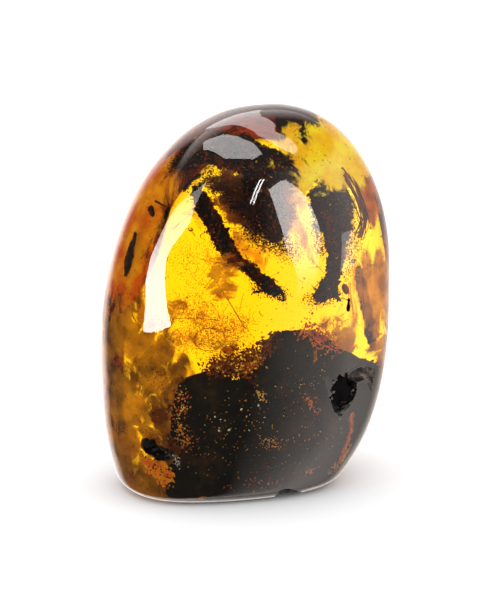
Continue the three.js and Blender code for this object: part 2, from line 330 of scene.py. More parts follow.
# Gas bubbles: place and radius in millimetres
BUBBLES = [
    ((4.6, -4.9, 57.0), 0.42), ((-9.9, -12.4, 22.4), 0.42), ((14.0, -10.6, 37.7), 0.4),
    ((9.6, -5.6, 53.4), 0.22), ((-3.6, -7.5, 49.0), 0.2), ((-14.2, -7.0, 36.0), 0.22),
    ((6.2, -9.8, 35.4), 0.18), ((17.0, -4.0, 41.0), 0.2), ((-7.0, 4.0, 40.0), 0.3),
    ((9.0, 8.0, 44.0), 0.35), ((-14.0, 7.0, 24.0), 0.3), ((3.0, 10.5, 22.0), 0.4),
]
# Lens-shaped cracks: place and radius in millimetres, and lean in degrees
CRACKS = [((-8.1, -12.3, 27.5), 1.6, (62, 12, 0)), ((12.6, -10.6, 33.4), 0.9, (60, 30, 30))]
CRACK_FLATNESS = 0.1
cavities = []
for place, radius in BUBBLES:
    bpy.ops.mesh.primitive_ico_sphere_add(subdivisions=3, radius=radius * MM, location=Vector(place) * MM)
    cavities.append(name_piece("bubble"))
for place, radius, lean in CRACKS:
    turns = [math.radians(turn) for turn in lean]
    bpy.ops.mesh.primitive_ico_sphere_add(
        subdivisions=4, radius=radius * MM, location=Vector(place) * MM, rotation=turns)
    cavities.append(name_piece("crack"))
    bpy.context.object.scale = (1.0, 1.0, CRACK_FLATNESS)
for cavity in cavities:
    cut = resin.modifiers.new("cavity", "BOOLEAN")
    cut.object = cavity
    cut.operation = "DIFFERENCE"
    cut.solver = "MANIFOLD"
    apply_modifiers(resin)
    bpy.data.objects.remove(cavity)

take(resin)
bpy.ops.object.shade_smooth_by_angle(angle=math.radians(35))
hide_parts("resin_front", "resin_back")
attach(resin, "root")


# The humus mass
# Crumbs of humus, rotten wood and soil that the resin flowed over. They fill the lower front and
# are soaked through with resin, so they look almost black.
def ragged_copy(node, name, voxel, lumps, level=0.6):
    """A CAD solid as a fine mesh, roughened by lumps of each (grain, strength, depth)."""
    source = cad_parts[node]
    piece = bpy.data.objects.new(name, source.data.copy())
    piece.data.name = name
    piece.data.materials.clear()
    bpy.context.scene.collection.objects.link(piece)
    take(piece)
    bpy.ops.object.mode_set(mode="EDIT")
    bpy.ops.mesh.select_all(action="SELECT")
    bpy.ops.mesh.remove_doubles(threshold=0.001 * MM)
    bpy.ops.object.mode_set(mode="OBJECT")
    roughen(piece, voxel, lumps, level)
    bpy.ops.object.shade_smooth()
    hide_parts(node)
    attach(piece, "root")
    return piece


HUMUS_MESH = 0.3 * MM
HUMUS_LUMPS = [(4 * MM, 1.2 * MM, 2), (0.8 * MM, 0.4 * MM, 2)]
humus = ragged_copy("humus_mass", "humus", HUMUS_MESH, HUMUS_LUMPS, level=0.3)
black_humus = crumbly_material("black_humus", dark=(0.005, 0.004, 0.004), light=(0.06, 0.02, 0.008),
                               grains=160, light_share=0.47, roughness=0.8, relief=0.1 * MM)
humus.data.materials.append(black_humus)

# Towards the back the crumbs thin out into ochre dust
DUST_FROM = -8.5 * MM
DUST_TO = -5.5 * MM
nodes, links = black_humus.node_tree.nodes, black_humus.node_tree.links
shader = nodes["Principled BSDF"]
crumbs = shader.inputs["Base Color"].links[0].from_socket
ochre = nodes.new("ShaderNodeGroup")
ochre.node_tree = CRUMBLY
ochre.inputs["Dark"].default_value = (0.36, 0.12, 0.012, 1.0)
ochre.inputs["Light"].default_value = (1.0, 0.84, 0.24, 1.0)
ochre.inputs["Grains per metre"].default_value = 220
ochre.inputs["Light share"].default_value = 0.6
place = nodes.new("ShaderNodeTexCoord")
axes = nodes.new("ShaderNodeSeparateXYZ")
links.new(place.outputs["Object"], axes.inputs["Vector"])
depth = nodes.new("ShaderNodeMapRange")
depth.inputs["From Min"].default_value = DUST_FROM
depth.inputs["From Max"].default_value = DUST_TO
links.new(axes.outputs["Y"], depth.inputs["Value"])
blend = nodes.new("ShaderNodeMix")
blend.data_type = "RGBA"
links.new(depth.outputs["Result"], blend.inputs["Factor"])
links.new(crumbs, blend.inputs["A"])
links.new(ochre.outputs["Color"], blend.inputs["B"])
links.new(blend.outputs["Result"], shader.inputs["Base Color"])

# The bark
# Three scraps of bark fell on the sticky resin: a crown near the top, a long splinter below it and
# a slab on the right. All are charred looking, nearly black, with ragged edges.
bark_finish = crumbly_material("black_bark", dark=(0.003, 0.002, 0.002), light=(0.16, 0.035, 0.004),
                               grains=420, light_share=0.5, roughness=0.7, relief=0.25 * MM)
BARK_MESH = 0.15 * MM
BARK_LUMPS = [(2.4 * MM, 1.2 * MM, 3), (0.8 * MM, 0.9 * MM, 3), (0.3 * MM, 0.35 * MM, 2)]
crown, splinter, slab = [
    ragged_copy(node, name, BARK_MESH, BARK_LUMPS, level=0.55)
    for node, name in (
        ("bark_crown", "crown_bark"),
        ("bark_splinter", "splinter_bark"),
        ("bark_slab", "slab_bark"),
    )
]
for scrap in (crown, splinter, slab):
    scrap.data.materials.append(bark_finish)

# The leaf and stem scraps
# Small brown bits of leaf and one thin stem, caught in the same flow as the bark.
leaf_finish = crumbly_material("brown_leaf", dark=(0.02, 0.008, 0.003), light=(0.12, 0.045, 0.01),
                               grains=600, light_share=0.5, roughness=0.6, relief=0.15 * MM)
LEAF_MESH = 0.12 * MM
LEAF_LUMPS = [(1.1 * MM, 0.7 * MM, 2), (0.4 * MM, 0.3 * MM, 2)]
leaves = [
    ragged_copy(node, name, LEAF_MESH, LEAF_LUMPS)
    for node, name in (
        ("plant_stem", "stem_scrap"),
        ("leaf_flake_left", "left_leaf"),
        ("leaf_flake_upper", "upper_leaf"),
        ("leaf_flake_lower", "lower_leaf"),
    )
]
for scrap in leaves:
    scrap.data.materials.append(leaf_finish)

# The crumbs and dust
# Wood dust and grit that came off the scraps and floated in the resin: dark red-brown dust round
# the bark, orange and white grit before the humus, specks all through. Gold flecks among them are
# painted glints that stand in for tiny cracks catching the light. One crumb is copied for all of them.
bpy.ops.object.select_all(action="DESELECT")
bpy.ops.mesh.primitive_ico_sphere_add(subdivisions=1, radius=1.0)
crumb = name_piece("crumb")
bpy.ops.object.mode_set(mode="EDIT")
bpy.ops.mesh.select_all(action="SELECT")
bpy.ops.transform.resize(value=(1.3, 0.8, 0.6), center_override=(0, 0, 0))
bpy.ops.transform.vertex_random(offset=0.3, seed=4)
bpy.ops.object.mode_set(mode="OBJECT")
CRUMB_CORNERS = np.array([corner.co for corner in crumb.data.vertices])
CRUMB_FACES = np.array([face.vertices for face in crumb.data.polygons])
bpy.data.objects.remove(crumb)

LEVELS = np.linspace(0, HEIGHT, 200)
RINGS = np.array([(*ring_at(z)[0][:2], *ring_at(z)[1:]) for z in LEVELS])

# The resin's section on a unit circle: a little squarer than round
TURNS = np.radians(np.linspace(-180, 180, 361))
SECTION_X = (np.cos(TURNS) - SECTION_SQUARENESS * np.cos(3 * TURNS)) / (1 - SECTION_SQUARENESS)
SECTION_Y = (np.sin(TURNS) + SECTION_SQUARENESS * np.sin(3 * TURNS)) / (1 - SECTION_SQUARENESS)
SECTION_HEADING = np.arctan2(SECTION_Y, SECTION_X)[1:-1]
SECTION_REACH = np.hypot(SECTION_X, SECTION_Y)[1:-1]


def well_inside(places, wall):
    """Which places lie in the resin, at least a wall away from its skin."""
    x = places[:, 0] / (1 - wall / HALF_WIDTH)
    y = places[:, 1] / (1 - wall / HALF_DEPTH)
    z = (places[:, 2] - wall) / (1 - 2 * wall / HEIGHT)
    middle_x, middle_y, half_x, half_y = [np.interp(z, LEVELS, column) for column in RINGS.T]
    sideways, backwards = (x - middle_x) / half_x, (y - middle_y) / half_y
    reach = np.interp(np.arctan2(backwards, sideways), SECTION_HEADING, SECTION_REACH)
    return (np.hypot(sideways, backwards) < reach) & (z > 0) & (z < HEIGHT)


# Sizes vary by chance about a crumb's own size, up to a largest, which stays clear of the skin
SIZE_SPREAD = 0.45
LARGEST = 1.5
CLEARANCE = 1.9


def scatter(name, places, size, finish, chance):
    """One piece of many crumbs: at each place inside the resin a crumb, turned and sized by chance."""
    places = places[well_inside(places, CLEARANCE * size)]
    sizes = np.minimum(size * chance.lognormal(0, SIZE_SPREAD, len(places)), LARGEST * size)
    turns = chance.normal(size=(len(places), 4))
    w, x, y, z = (turns / np.linalg.norm(turns, axis=1, keepdims=True)).T
    turned = np.array([
        [1 - 2 * (y * y + z * z), 2 * (x * y - z * w), 2 * (x * z + y * w)],
        [2 * (x * y + z * w), 1 - 2 * (x * x + z * z), 2 * (y * z - x * w)],
        [2 * (x * z - y * w), 2 * (y * z + x * w), 1 - 2 * (x * x + y * y)],
    ])
    corners = np.einsum("ijn,kj->nki", turned, CRUMB_CORNERS) * sizes[:, None, None] + places[:, None, :]
    first = np.arange(len(places))[:, None, None] * len(CRUMB_CORNERS)
    mesh = bpy.data.meshes.new(name)
    mesh.from_pydata(corners.reshape(-1, 3).tolist(), [], (CRUMB_FACES + first).reshape(-1, 3).tolist())
    mesh.materials.append(finish)
    piece = bpy.data.objects.new(name, mesh)
    bpy.context.scene.collection.objects.link(piece)
    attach(piece, "root")
    return piece


def round_piece(piece, count, reach, chance):
    """Places close round a piece, fewer and fewer away from it."""
    skin_points = np.array([corner.co for corner in piece.data.vertices])
    picked = skin_points[chance.integers(len(skin_points), size=count)]
    away = chance.normal(size=(count, 3))
    away /= np.linalg.norm(away, axis=1, keepdims=True)
    return picked + away * chance.exponential(reach, (count, 1))


def along(chain, count, spread, chance):
    """Places along a chain of points, in millimetres, strewn about it."""
    chain = np.array(chain)
    share = chance.uniform(0, len(chain) - 1, count)
    places = np.column_stack([np.interp(share, range(len(chain)), column) for column in chain.T])
    return (places + chance.normal(size=(count, 3)) * spread) * MM


def under_front(x, z, depth):
    """The places at x and z, in millimetres, a depth behind the front skin."""
    middle_x, middle_y, half_x, half_y = [np.interp(z * MM, LEVELS, column) for column in RINGS.T]
    front = TURNS <= 0
    skin_y = np.interp((x * MM - middle_x) / half_x, SECTION_X[front], SECTION_Y[front])
    return np.column_stack([x * MM, middle_y + half_y * skin_y + depth * MM, z * MM])


# Each kind of dust and grit: dark and light colour, grains per metre, light share and roughness
DUSTS = {
    "dark_dust": ((0.02, 0.004, 0.001), (0.14, 0.028, 0.003), 900, 0.5, 0.8),
    "red_dust": ((0.14, 0.026, 0.002), (0.45, 0.12, 0.008), 900, 0.5, 0.8),
    # gold flecks: painted glints, bright specks that stand in for tiny cracks catching the light
    "painted_glints": ((0.55, 0.20, 0.01), (0.95, 0.62, 0.12), 700, 0.6, 0.5),
    "white_grit": ((0.85, 0.80, 0.70), (0.95, 0.93, 0.88), 700, 0.6, 0.5),
    "orange_grit": ((0.45, 0.07, 0.002), (0.95, 0.32, 0.01), 500, 0.55, 0.6),
    "olive_dust": ((0.10, 0.06, 0.004), (0.40, 0.26, 0.012), 900, 0.5, 0.8),
    "glow_grit": ((0.85, 0.20, 0.004), (1.0, 0.55, 0.03), 500, 0.6, 0.6),
}
DUST_RELIEF = 0.05 * MM
dark_dust, red_dust, painted_glints, white_grit, orange_grit, olive_dust, glow_grit = [
    crumbly_material(name, *looks, DUST_RELIEF) for name, looks in DUSTS.items()
]

# Round each scrap of bark: the counts of dust and of chips, and how far the dust drifts off
BARK_DUST = ((crown, 4600, 300, 0.5), (splinter, 2200, 200, 0.35), (slab, 2600, 300, 0.4))
chance = np.random.default_rng(7)
for piece, dust, chips, reach in BARK_DUST:
    places = round_piece(piece, dust, reach * MM, chance)
    scatter(f"{piece.name}_dust", places, 0.09 * MM, dark_dust, chance)
    places = round_piece(piece, chips, 0.2 * MM, chance)
    scatter(f"{piece.name}_chips", places, 0.3 * MM, bark_finish, chance)
    places = round_piece(piece, dust // 4, 0.12 * MM, chance)
    scatter(f"{piece.name}_rust", places, 0.135 * MM, red_dust, chance)
    # a few gold flecks close round the bark: painted glints
    places = round_piece(piece, dust // 50, 0.1 * MM, chance)
    scatter(f"{piece.name}_gold", places, 0.12 * MM, painted_glints, chance)

# Clouds of dust that drifted off. Each kind: crumb size, finish, and the clouds as chains of
# points with a count and a spread
CLOUDS = {
    "dark": (0.08, dark_dust, [
        ([(-11.0, -2.0, 52.6), (-9.2, -2.8, 50.2)], 1350, 0.8),
        ([(4.0, -3.6, 51.2), (8.8, -3.2, 50.0)], 1350, 0.9),
        ([(-7.0, -3.5, 50.4), (-4.0, -4.0, 47.4), (0.5, -4.5, 45.0)], 2250, 0.9),
        ([(-3.4, -4.3, 45.8), (0.6, -4.6, 44.8), (4.6, -4.6, 43.6)], 2400, 0.8),
        ([(-1.6, -4.6, 42.4), (1.4, -4.9, 41.0), (4.8, -4.9, 38.6)], 2850, 0.9),
        ([(9.6, -3.1, 50.0), (12.0, -3.0, 48.4)], 240, 0.7),
        ([(-0.4, -5.3, 33.6), (3.8, -5.4, 32.0)], 630, 0.6),
        ([(7.4, -4.9, 30.8), (12.2, -4.4, 31.6)], 630, 0.7),
        ([(9.4, -4.8, 45.4), (9.0, -5.0, 41.6), (9.6, -5.0, 37.6)], 900, 0.5),
        ([(14.6, -4.8, 46.0), (13.8, -5.0, 41.0), (13.2, -5.0, 37.0)], 675, 0.5),
    ]),
    "red": (0.07, red_dust, [
        ([(-5.5, -3.0, 51.6), (2.6, -3.2, 49.4)], 1200, 1.3),
        ([(-8.8, -12.6, 24.0), (-5.0, -13.0, 24.4), (-1.5, -13.2, 24.0)], 1500, 1.1),
        ([(-16.5, -9.0, 24.0), (-15.0, -10.5, 18.0), (-15.5, -10.0, 13.0)], 1500, 1.9),
        ([(6.3, -13.0, 26.6), (11.5, -12.2, 24.2)], 420, 0.8),
        ([(-12.0, -9.0, 30.0), (-4.0, -11.0, 27.0)], 900, 1.8),
        ([(13.8, -5.6, 44.0), (14.4, -6.4, 39.0), (13.6, -6.8, 34.0)], 900, 0.9),
    ]),
    "orange": (0.065, glow_grit, [
        ([(-13.8, -10.6, 33.2), (-10.5, -11.8, 30.6), (-6.6, -12.4, 28.8), (-3.3, -12.8, 29.8)],
         2800, 1.1),
        ([(-14.0, -11.2, 28.0), (-10.0, -12.2, 27.0), (-5.0, -12.8, 26.4)], 2200, 0.9),
    ]),
    "olive": (0.055, olive_dust, [
        ([(-11.8, -7.9, 40.4), (-9.4, -9.4, 36.6), (-9.7, -9.9, 33.3)], 900, 1.5),
        ([(-8.4, -8.0, 41.6), (-6.6, -8.6, 38.4)], 200, 0.9),
    ]),
}
for kind, (size, finish, clouds) in CLOUDS.items():
    for step, (chain, count, spread) in enumerate(clouds):
        places = along(chain, count, spread, chance)
        scatter(f"{kind}_cloud_{step}", places, size * MM, finish, chance)

# Grit just under the front skin, before the humus: chain from the front (x, z), count, spread,
# size, finish, depth under the skin
STREWN_OVER = [(-10.0, 6.0), (-6.0, 18.0), (2.0, 6.0), (6.0, 22.0), (12.0, 8.0)]
UNDER_SKIN = {
    "mound_crumbs": ([(-9.4, 23.2), (-6.0, 23.8), (-2.6, 24.8), (0.0, 26.6)], 700, 0.8, 0.2, red_dust, 0.9),
    "mound_dark": ([(-9.0, 22.4), (-5.0, 22.2), (-2.0, 23.2)], 700, 0.7, 0.2, dark_dust, 1.1),
    # the gold flecks in these rows are painted glints
    "mound_gold": ([(-8.8, 23.6), (-4.6, 22.8), (-2.0, 24.4)], 70, 0.8, 0.15, painted_glints, 0.5),
    "fan_orange": ([(5.2, 28.8), (7.6, 27.2), (11.2, 25.0)], 260, 0.8, 0.2, orange_grit, 0.6),
    "window_orange": ([(-18.0, 8.0), (-16.6, 6.4), (-15.4, 4.8)], 520, 0.6, 0.23, glow_grit, 0.8),
    "window_cracks": ([(-17.6, 7.6), (-16.6, 6.6), (-15.4, 5.4)], 46, 0.6, 0.12, dark_dust, 0.4),
    "right_streak": ([(13.7, 14.0), (13.9, 11.1), (13.5, 8.8), (12.8, 6.6), (12.4, 3.6)],
                     420, 0.2, 0.14, orange_grit, 0.4),
    # painted glow: gold flecks that paint the yellow glow at the lower right edge
    "right_glow": ([(14.0, 8.0), (13.2, 5.6), (11.0, 3.6)], 150, 0.4, 0.15, painted_glints, 0.45),
    "pit_crystals": ([(-14.4, 8.6), (-14.0, 7.4)], 24, 0.3, 0.1, white_grit, 0.3),
    "gold_fan": ([(-1.5, 11.0), (1.4, 10.2)], 70, 0.5, 0.1, painted_glints, 0.3),
    "gold_bits": ([(-2.4, 19.4), (-0.8, 17.4)], 30, 0.45, 0.14, painted_glints, 0.3),
    "low_right_orange": ([(6.8, 4.6), (9.8, 4.4)], 60, 0.5, 0.17, orange_grit, 0.4),
    "upper_right_orange": ([(5.6, 17.8), (7.6, 14.8)], 40, 0.35, 0.16, orange_grit, 0.35),
    "low_middle_orange": ([(-7.0, 4.0), (2.0, 3.4)], 40, 0.9, 0.14, orange_grit, 0.35),
    "left_edge_orange": ([(-13.4, 19.0), (-13.8, 14.0), (-12.6, 10.0)], 130, 0.7, 0.13, orange_grit, 0.7),
    "left_edge_gold": ([(-13.6, 20.0), (-14.2, 14.0), (-12.8, 10.4)], 90, 0.6, 0.12, painted_glints, 0.35),
    "white_pieces": ([(-11.5, 10.6), (-6.6, 15.0), (-2.6, 17.0), (-3.4, 12.0)],
                     18, 1.2, 0.15, white_grit, 0.3),
    "gold_strewn": (STREWN_OVER, 260, 2.6, 0.08, painted_glints, 0.3),
    "rust_strewn": (STREWN_OVER, 200, 2.8, 0.11, red_dust, 0.3),
}
# Spots round the pits that stay clear of grit: x, z and reach
PIT_SPOTS = [(12.0, 17.4, 4.2), (16.5, 18.8, 2.8), (-17.0, 9.9, 2.2)]
for name, (chain, count, spread, size, finish, depth) in UNDER_SKIN.items():
    x, _, z = along([(x, 0, z) for x, z in chain], count, spread, chance).T / MM
    clear = np.all([np.hypot(x - pit_x, z - pit_z) > reach for pit_x, pit_z, reach in PIT_SPOTS], axis=0)
    scatter(name, under_front(x[clear], z[clear], depth), size * MM, finish, chance)

# Coarse crumbs all over the back of the humus: count, size and finish
BACK_GRIT = {
    "back_crumbs": (5200, 0.22, red_dust),
    "back_dark": (2600, 0.24, dark_dust),
    # gold flecks on the back of the humus: painted glints
    "back_gold": (900, 0.18, painted_glints),
}
HUMUS_BACK = -7.5 * MM
for name, (count, size, finish) in BACK_GRIT.items():
    places = round_piece(humus, count, 0.15 * MM, chance)
    scatter(name, places[places[:, 1] > HUMUS_BACK], size * MM, finish, chance)

# Sparse dark specks all through the clear part
specks = chance.uniform((-22, -14, 22), (22, 14, 59), (900, 3)) * MM
scatter("specks", specks, 0.075 * MM, dark_dust, chance)

# The fibres
# Plant hairs and thin rootlets, red-brown to black, bent by the flow. Each is a thin round thread.
def thread(name, chain, radius, finish):
    """A thin round thread through a chain of points in millimetres."""
    path = bpy.data.curves.new(name, "CURVE")
    path.dimensions = "3D"
    path.bevel_depth = radius * MM
    path.bevel_resolution = 1
    path.resolution_u = 4
    path.use_fill_caps = True
    line = path.splines.new("NURBS")
    line.points.add(len(chain) - 1)
    for point, place in zip(line.points, chain):
        point.co = (*(np.array(place) * MM), 1.0)
    line.use_endpoint_u = True
    line.order_u = 3
    piece = bpy.data.objects.new(name, path)
    bpy.context.scene.collection.objects.link(piece)
    take(piece)
    bpy.ops.object.convert(target="MESH")
    piece = bpy.context.object
    piece.data.materials.clear()
    piece.data.materials.append(finish)
    return piece


def tuft(name, threads):
    """Joins threads into one piece that rides on the root."""
    bpy.ops.object.select_all(action="DESELECT")
    for piece in threads:
        piece.select_set(True)
    bpy.context.view_layer.objects.active = threads[0]
    bpy.ops.object.join()
    piece = name_piece(name)
    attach(piece, "root")
    return piece


rust_fibre = crumbly_material("rust_fibre", dark=(0.08, 0.012, 0.001), light=(0.45, 0.09, 0.005),
                              grains=500, light_share=0.5, roughness=0.7, relief=0.03 * MM)

# The tuft by the right flank: the line that its fibres follow, and how far they stray and bend
RIGHT_FIBRES = np.array([
    (13.2, -5.6, 51.0), (14.8, -6.4, 47.7), (15.9, -6.8, 45.3), (16.4, -7.2, 42.4), (15.2, -8.0, 41.2),
])
FIBRE_STRAY = (0.5, 0.9, 0.9)
FIBRE_BEND = 0.25
right_fibres = []
for number in range(16):
    strewn = RIGHT_FIBRES + chance.normal(size=3) * FIBRE_STRAY
    strewn = strewn + chance.normal(size=RIGHT_FIBRES.shape) * FIBRE_BEND
    right_fibres.append(thread(f"fibre_{number}", strewn, chance.uniform(0.04, 0.13), rust_fibre))
tuft("right_fibres", right_fibres)

# Charred twigs that stick out of the bark
SPIKES = [
    [(10.4, -4.0, 47.2), (9.2, -4.2, 48.6), (8.6, -4.0, 49.8)],
    [(11.2, -4.0, 48.2), (11.4, -4.2, 49.6), (12.2, -4.0, 50.6)],
    [(12.6, -4.0, 47.4), (13.6, -4.2, 48.6), (14.0, -4.0, 49.6)],
    [(10.0, -4.5, 44.6), (8.8, -4.6, 44.2), (8.1, -4.6, 45.2)],
    [(10.4, -4.6, 42.6), (9.2, -4.8, 41.6), (8.6, -4.8, 42.4)],
    [(10.6, -5.0, 34.2), (9.6, -5.2, 32.4), (9.9, -5.2, 30.8)],
    [(11.6, -5.0, 34.0), (11.3, -5.2, 31.9), (12.0, -5.2, 30.6)],
    [(12.8, -4.6, 43.4), (13.9, -4.8, 42.6), (14.2, -4.8, 41.2)],
    [(-8.0, -2.6, 51.0), (-9.8, -2.6, 52.4), (-11.6, -2.4, 52.0)],
    [(-7.6, -3.0, 50.2), (-9.2, -3.2, 49.4), (-9.8, -3.0, 48.0)],
    [(3.4, -3.0, 50.6), (5.6, -3.2, 51.6), (8.2, -3.0, 51.0)],
    [(3.6, -3.2, 49.0), (6.0, -3.4, 48.6), (8.4, -3.2, 49.4)],
    [(1.6, -4.6, 43.8), (3.4, -4.8, 42.4), (4.4, -4.8, 40.6)],
    [(-0.4, -4.6, 45.6), (-2.2, -4.6, 45.0), (-3.6, -4.4, 45.6)],
    [(1.8, -5.2, 33.6), (0.4, -5.4, 32.6), (-0.8, -5.4, 32.8)],
    [(3.0, -5.2, 33.2), (3.8, -5.4, 32.2), (3.6, -5.4, 31.2)],
]
spikes = []
for number, chain in enumerate(SPIKES):
    spikes.append(thread(f"spike_{number}", chain, chance.uniform(0.14, 0.3), bark_finish))
bark_twigs = tuft("bark_twigs", spikes)
places = round_piece(bark_twigs, 2200, 0.3 * MM, chance)
scatter("twig_dust", places, 0.105 * MM, dark_dust, chance)

# Short bent hairs strewn through the clear part
HAIRS = 90
HAIR_WALL = 0.8 * MM
strewn_hairs = []
while len(strewn_hairs) < HAIRS:
    start = chance.uniform((-20, -13, 24), (20, 10, 57))
    heading = chance.normal(size=3)
    bend = chance.normal(size=3) * 0.5
    reach = chance.uniform(0.5, 1.6)
    chain = np.array([start + heading * step * reach / 3 + bend * step * step / 9 for step in range(4)])
    if well_inside(chain * MM, HAIR_WALL).all():
        hair = thread(f"hair_{len(strewn_hairs)}", chain, chance.uniform(0.02, 0.06), rust_fibre)
        strewn_hairs.append(hair)
tuft("strewn_hairs", strewn_hairs)

# A short stick by the left flank, and reddish threads that cross below the splinter
stick = [(-14.9, -3.8, 47.2), (-14.2, -4.8, 46.9), (-13.5, -5.8, 46.5)]
tuft("flank_stick", [thread("stick", stick, 0.16, rust_fibre)])
CROSS_THREADS = {
    "cross_low": ([(-7.6, -9.6, 36.2), (-6.6, -10.6, 34.4), (-5.1, -11.6, 31.7), (-3.4, -12.2, 28.6)], 0.07),
    "cross_high": ([(-9.4, -8.0, 39.0), (-5.4, -8.4, 37.6), (-1.6, -8.0, 38.2)], 0.04),
    "cross_left": ([(-13.6, -8.4, 30.0), (-10.4, -9.8, 30.6), (-7.0, -10.6, 29.8)], 0.05),
}
tuft("cross_threads", [
    thread(name, chain, radius, rust_fibre) for name, (chain, radius) in CROSS_THREADS.items()
])

# The round rim of a flat crack, left of the mound, where dust has gathered
RIM_X, RIM_Z = -9.4, 27.6
RIM_HALF_WIDTH, RIM_HALF_HEIGHT = 2.1, 1.8
around = np.radians(np.linspace(35, 330, 16))
rim = under_front(RIM_X + RIM_HALF_WIDTH * np.cos(around), RIM_Z + RIM_HALF_HEIGHT * np.sin(around), 1.1) / MM
tuft("crack_rim", [thread("rim", rim, 0.05, rust_fibre)])

# The flow veils
# Each fresh flow of resin left a hair-thin skin of dust on the one before it. These veils stand in
# the amber as curved wisps, orange to brown. Some of them also paint the glow of light through the
# amber and the shade at its foot, as said where they are laid. A veil is a grid laid through rows of points.
def wisp_group():
    """A shader group that tears a veil into streaks: its colour, and how much of it is there."""
    group = bpy.data.node_groups.new("wisps", "ShaderNodeTree")
    for socket, kind in (("Dark", "NodeSocketColor"), ("Light", "NodeSocketColor"),
                         ("Stretch", "NodeSocketVector"), ("Wisps per metre", "NodeSocketFloat"),
                         ("Cover", "NodeSocketFloat"), ("Density", "NodeSocketFloat")):
        group.interface.new_socket(name=socket, in_out="INPUT", socket_type=kind)
    for socket, kind in (("Color", "NodeSocketColor"), ("Alpha", "NodeSocketFloat")):
        group.interface.new_socket(name=socket, in_out="OUTPUT", socket_type=kind)
    nodes, links = group.nodes, group.links
    given = nodes.new("NodeGroupInput")
    made = nodes.new("NodeGroupOutput")
    place = nodes.new("ShaderNodeTexCoord")
    stretched = nodes.new("ShaderNodeVectorMath")
    stretched.operation = "MULTIPLY"
    links.new(place.outputs["Object"], stretched.inputs[0])
    links.new(given.outputs["Stretch"], stretched.inputs[1])
    streaks = nodes.new("ShaderNodeTexNoise")
    streaks.inputs["Detail"].default_value = 9.0
    streaks.inputs["Roughness"].default_value = 0.62
    streaks.inputs["Distortion"].default_value = 0.7
    links.new(stretched.outputs[0], streaks.inputs["Vector"])
    links.new(given.outputs["Wisps per metre"], streaks.inputs["Scale"])
    tint = nodes.new("ShaderNodeTexNoise")
    tint.inputs["Detail"].default_value = 5.0
    tint.inputs["Scale"].default_value = 260.0
    links.new(place.outputs["Object"], tint.inputs["Vector"])
    tint_share = nodes.new("ShaderNodeMapRange")
    tint_share.inputs["From Min"].default_value = 0.38
    tint_share.inputs["From Max"].default_value = 0.62
    links.new(tint.outputs["Fac"], tint_share.inputs["Value"])
    mix = nodes.new("ShaderNodeMix")
    mix.data_type = "RGBA"
    links.new(tint_share.outputs["Result"], mix.inputs["Factor"])
    links.new(given.outputs["Dark"], mix.inputs["A"])
    links.new(given.outputs["Light"], mix.inputs["B"])
    specks = nodes.new("ShaderNodeTexNoise")
    specks.inputs["Detail"].default_value = 2.0
    specks.inputs["Scale"].default_value = 2600.0
    links.new(place.outputs["Object"], specks.inputs["Vector"])
    speck_share = nodes.new("ShaderNodeMapRange")
    speck_share.inputs["From Min"].default_value = 0.66
    speck_share.inputs["From Max"].default_value = 0.72
    links.new(specks.outputs["Fac"], speck_share.inputs["Value"])
    speckled = nodes.new("ShaderNodeMix")
    speckled.data_type = "RGBA"
    speckled.inputs["B"].default_value = (0.03, 0.008, 0.001, 1.0)
    links.new(speck_share.outputs["Result"], speckled.inputs["Factor"])
    links.new(mix.outputs["Result"], speckled.inputs["A"])
    middle = nodes.new("ShaderNodeAttribute")
    middle.attribute_name = "middle_share"
    thinning = nodes.new("ShaderNodeMapRange")
    thinning.interpolation_type = "SMOOTHSTEP"
    thinning.inputs["From Max"].default_value = 0.8
    links.new(middle.outputs["Fac"], thinning.inputs["Value"])
    cover_here = nodes.new("ShaderNodeMath")
    cover_here.operation = "MULTIPLY"
    links.new(thinning.outputs["Result"], cover_here.inputs[0])
    links.new(given.outputs["Cover"], cover_here.inputs[1])
    start = nodes.new("ShaderNodeMath")
    start.operation = "SUBTRACT"
    start.inputs[0].default_value = 0.75
    links.new(cover_here.outputs[0], start.inputs[1])
    full = nodes.new("ShaderNodeMath")
    full.inputs[1].default_value = 0.16
    links.new(start.outputs[0], full.inputs[0])
    torn = nodes.new("ShaderNodeMapRange")
    torn.interpolation_type = "SMOOTHSTEP"
    links.new(streaks.outputs["Fac"], torn.inputs["Value"])
    links.new(start.outputs[0], torn.inputs["From Min"])
    links.new(full.outputs[0], torn.inputs["From Max"])
    alpha = nodes.new("ShaderNodeMath")
    alpha.operation = "MULTIPLY"
    links.new(torn.outputs["Result"], alpha.inputs[0])
    links.new(given.outputs["Density"], alpha.inputs[1])
    links.new(speckled.outputs["Result"], made.inputs["Color"])
    links.new(alpha.outputs[0], made.inputs["Alpha"])
    return group


WISPS = wisp_group()


def veil_material(name, dark, light, stretch, wisps, cover, density, see_through):
    """A dusty film that is only partly there, and lets a share of the light through in its colour."""
    material = bpy.data.materials.new(name)
    material.use_nodes = True
    nodes, links = material.node_tree.nodes, material.node_tree.links
    shader = nodes["Principled BSDF"]
    shader.inputs["Roughness"].default_value = 0.9
    shader.inputs["Specular IOR Level"].default_value = 0.0
    shader.inputs["IOR"].default_value = 1.0
    shader.inputs["Transmission Weight"].default_value = see_through
    film = nodes.new("ShaderNodeGroup")
    film.node_tree = WISPS
    film.inputs["Dark"].default_value = (*dark, 1.0)
    film.inputs["Light"].default_value = (*light, 1.0)
    film.inputs["Stretch"].default_value = stretch
    film.inputs["Wisps per metre"].default_value = wisps
    film.inputs["Cover"].default_value = cover
    film.inputs["Density"].default_value = density
    links.new(film.outputs["Color"], shader.inputs["Base Color"])
    links.new(film.outputs["Alpha"], shader.inputs["Alpha"])
    return material


FILM_THICKNESS = 0.02 * MM
RIPPLE_GRAIN = 5 * MM

# Behind a pit a film bends back, out to this many times the pit's reach
PIT_MARGIN = 1.5
PIT_BEND = 3.2 * MM


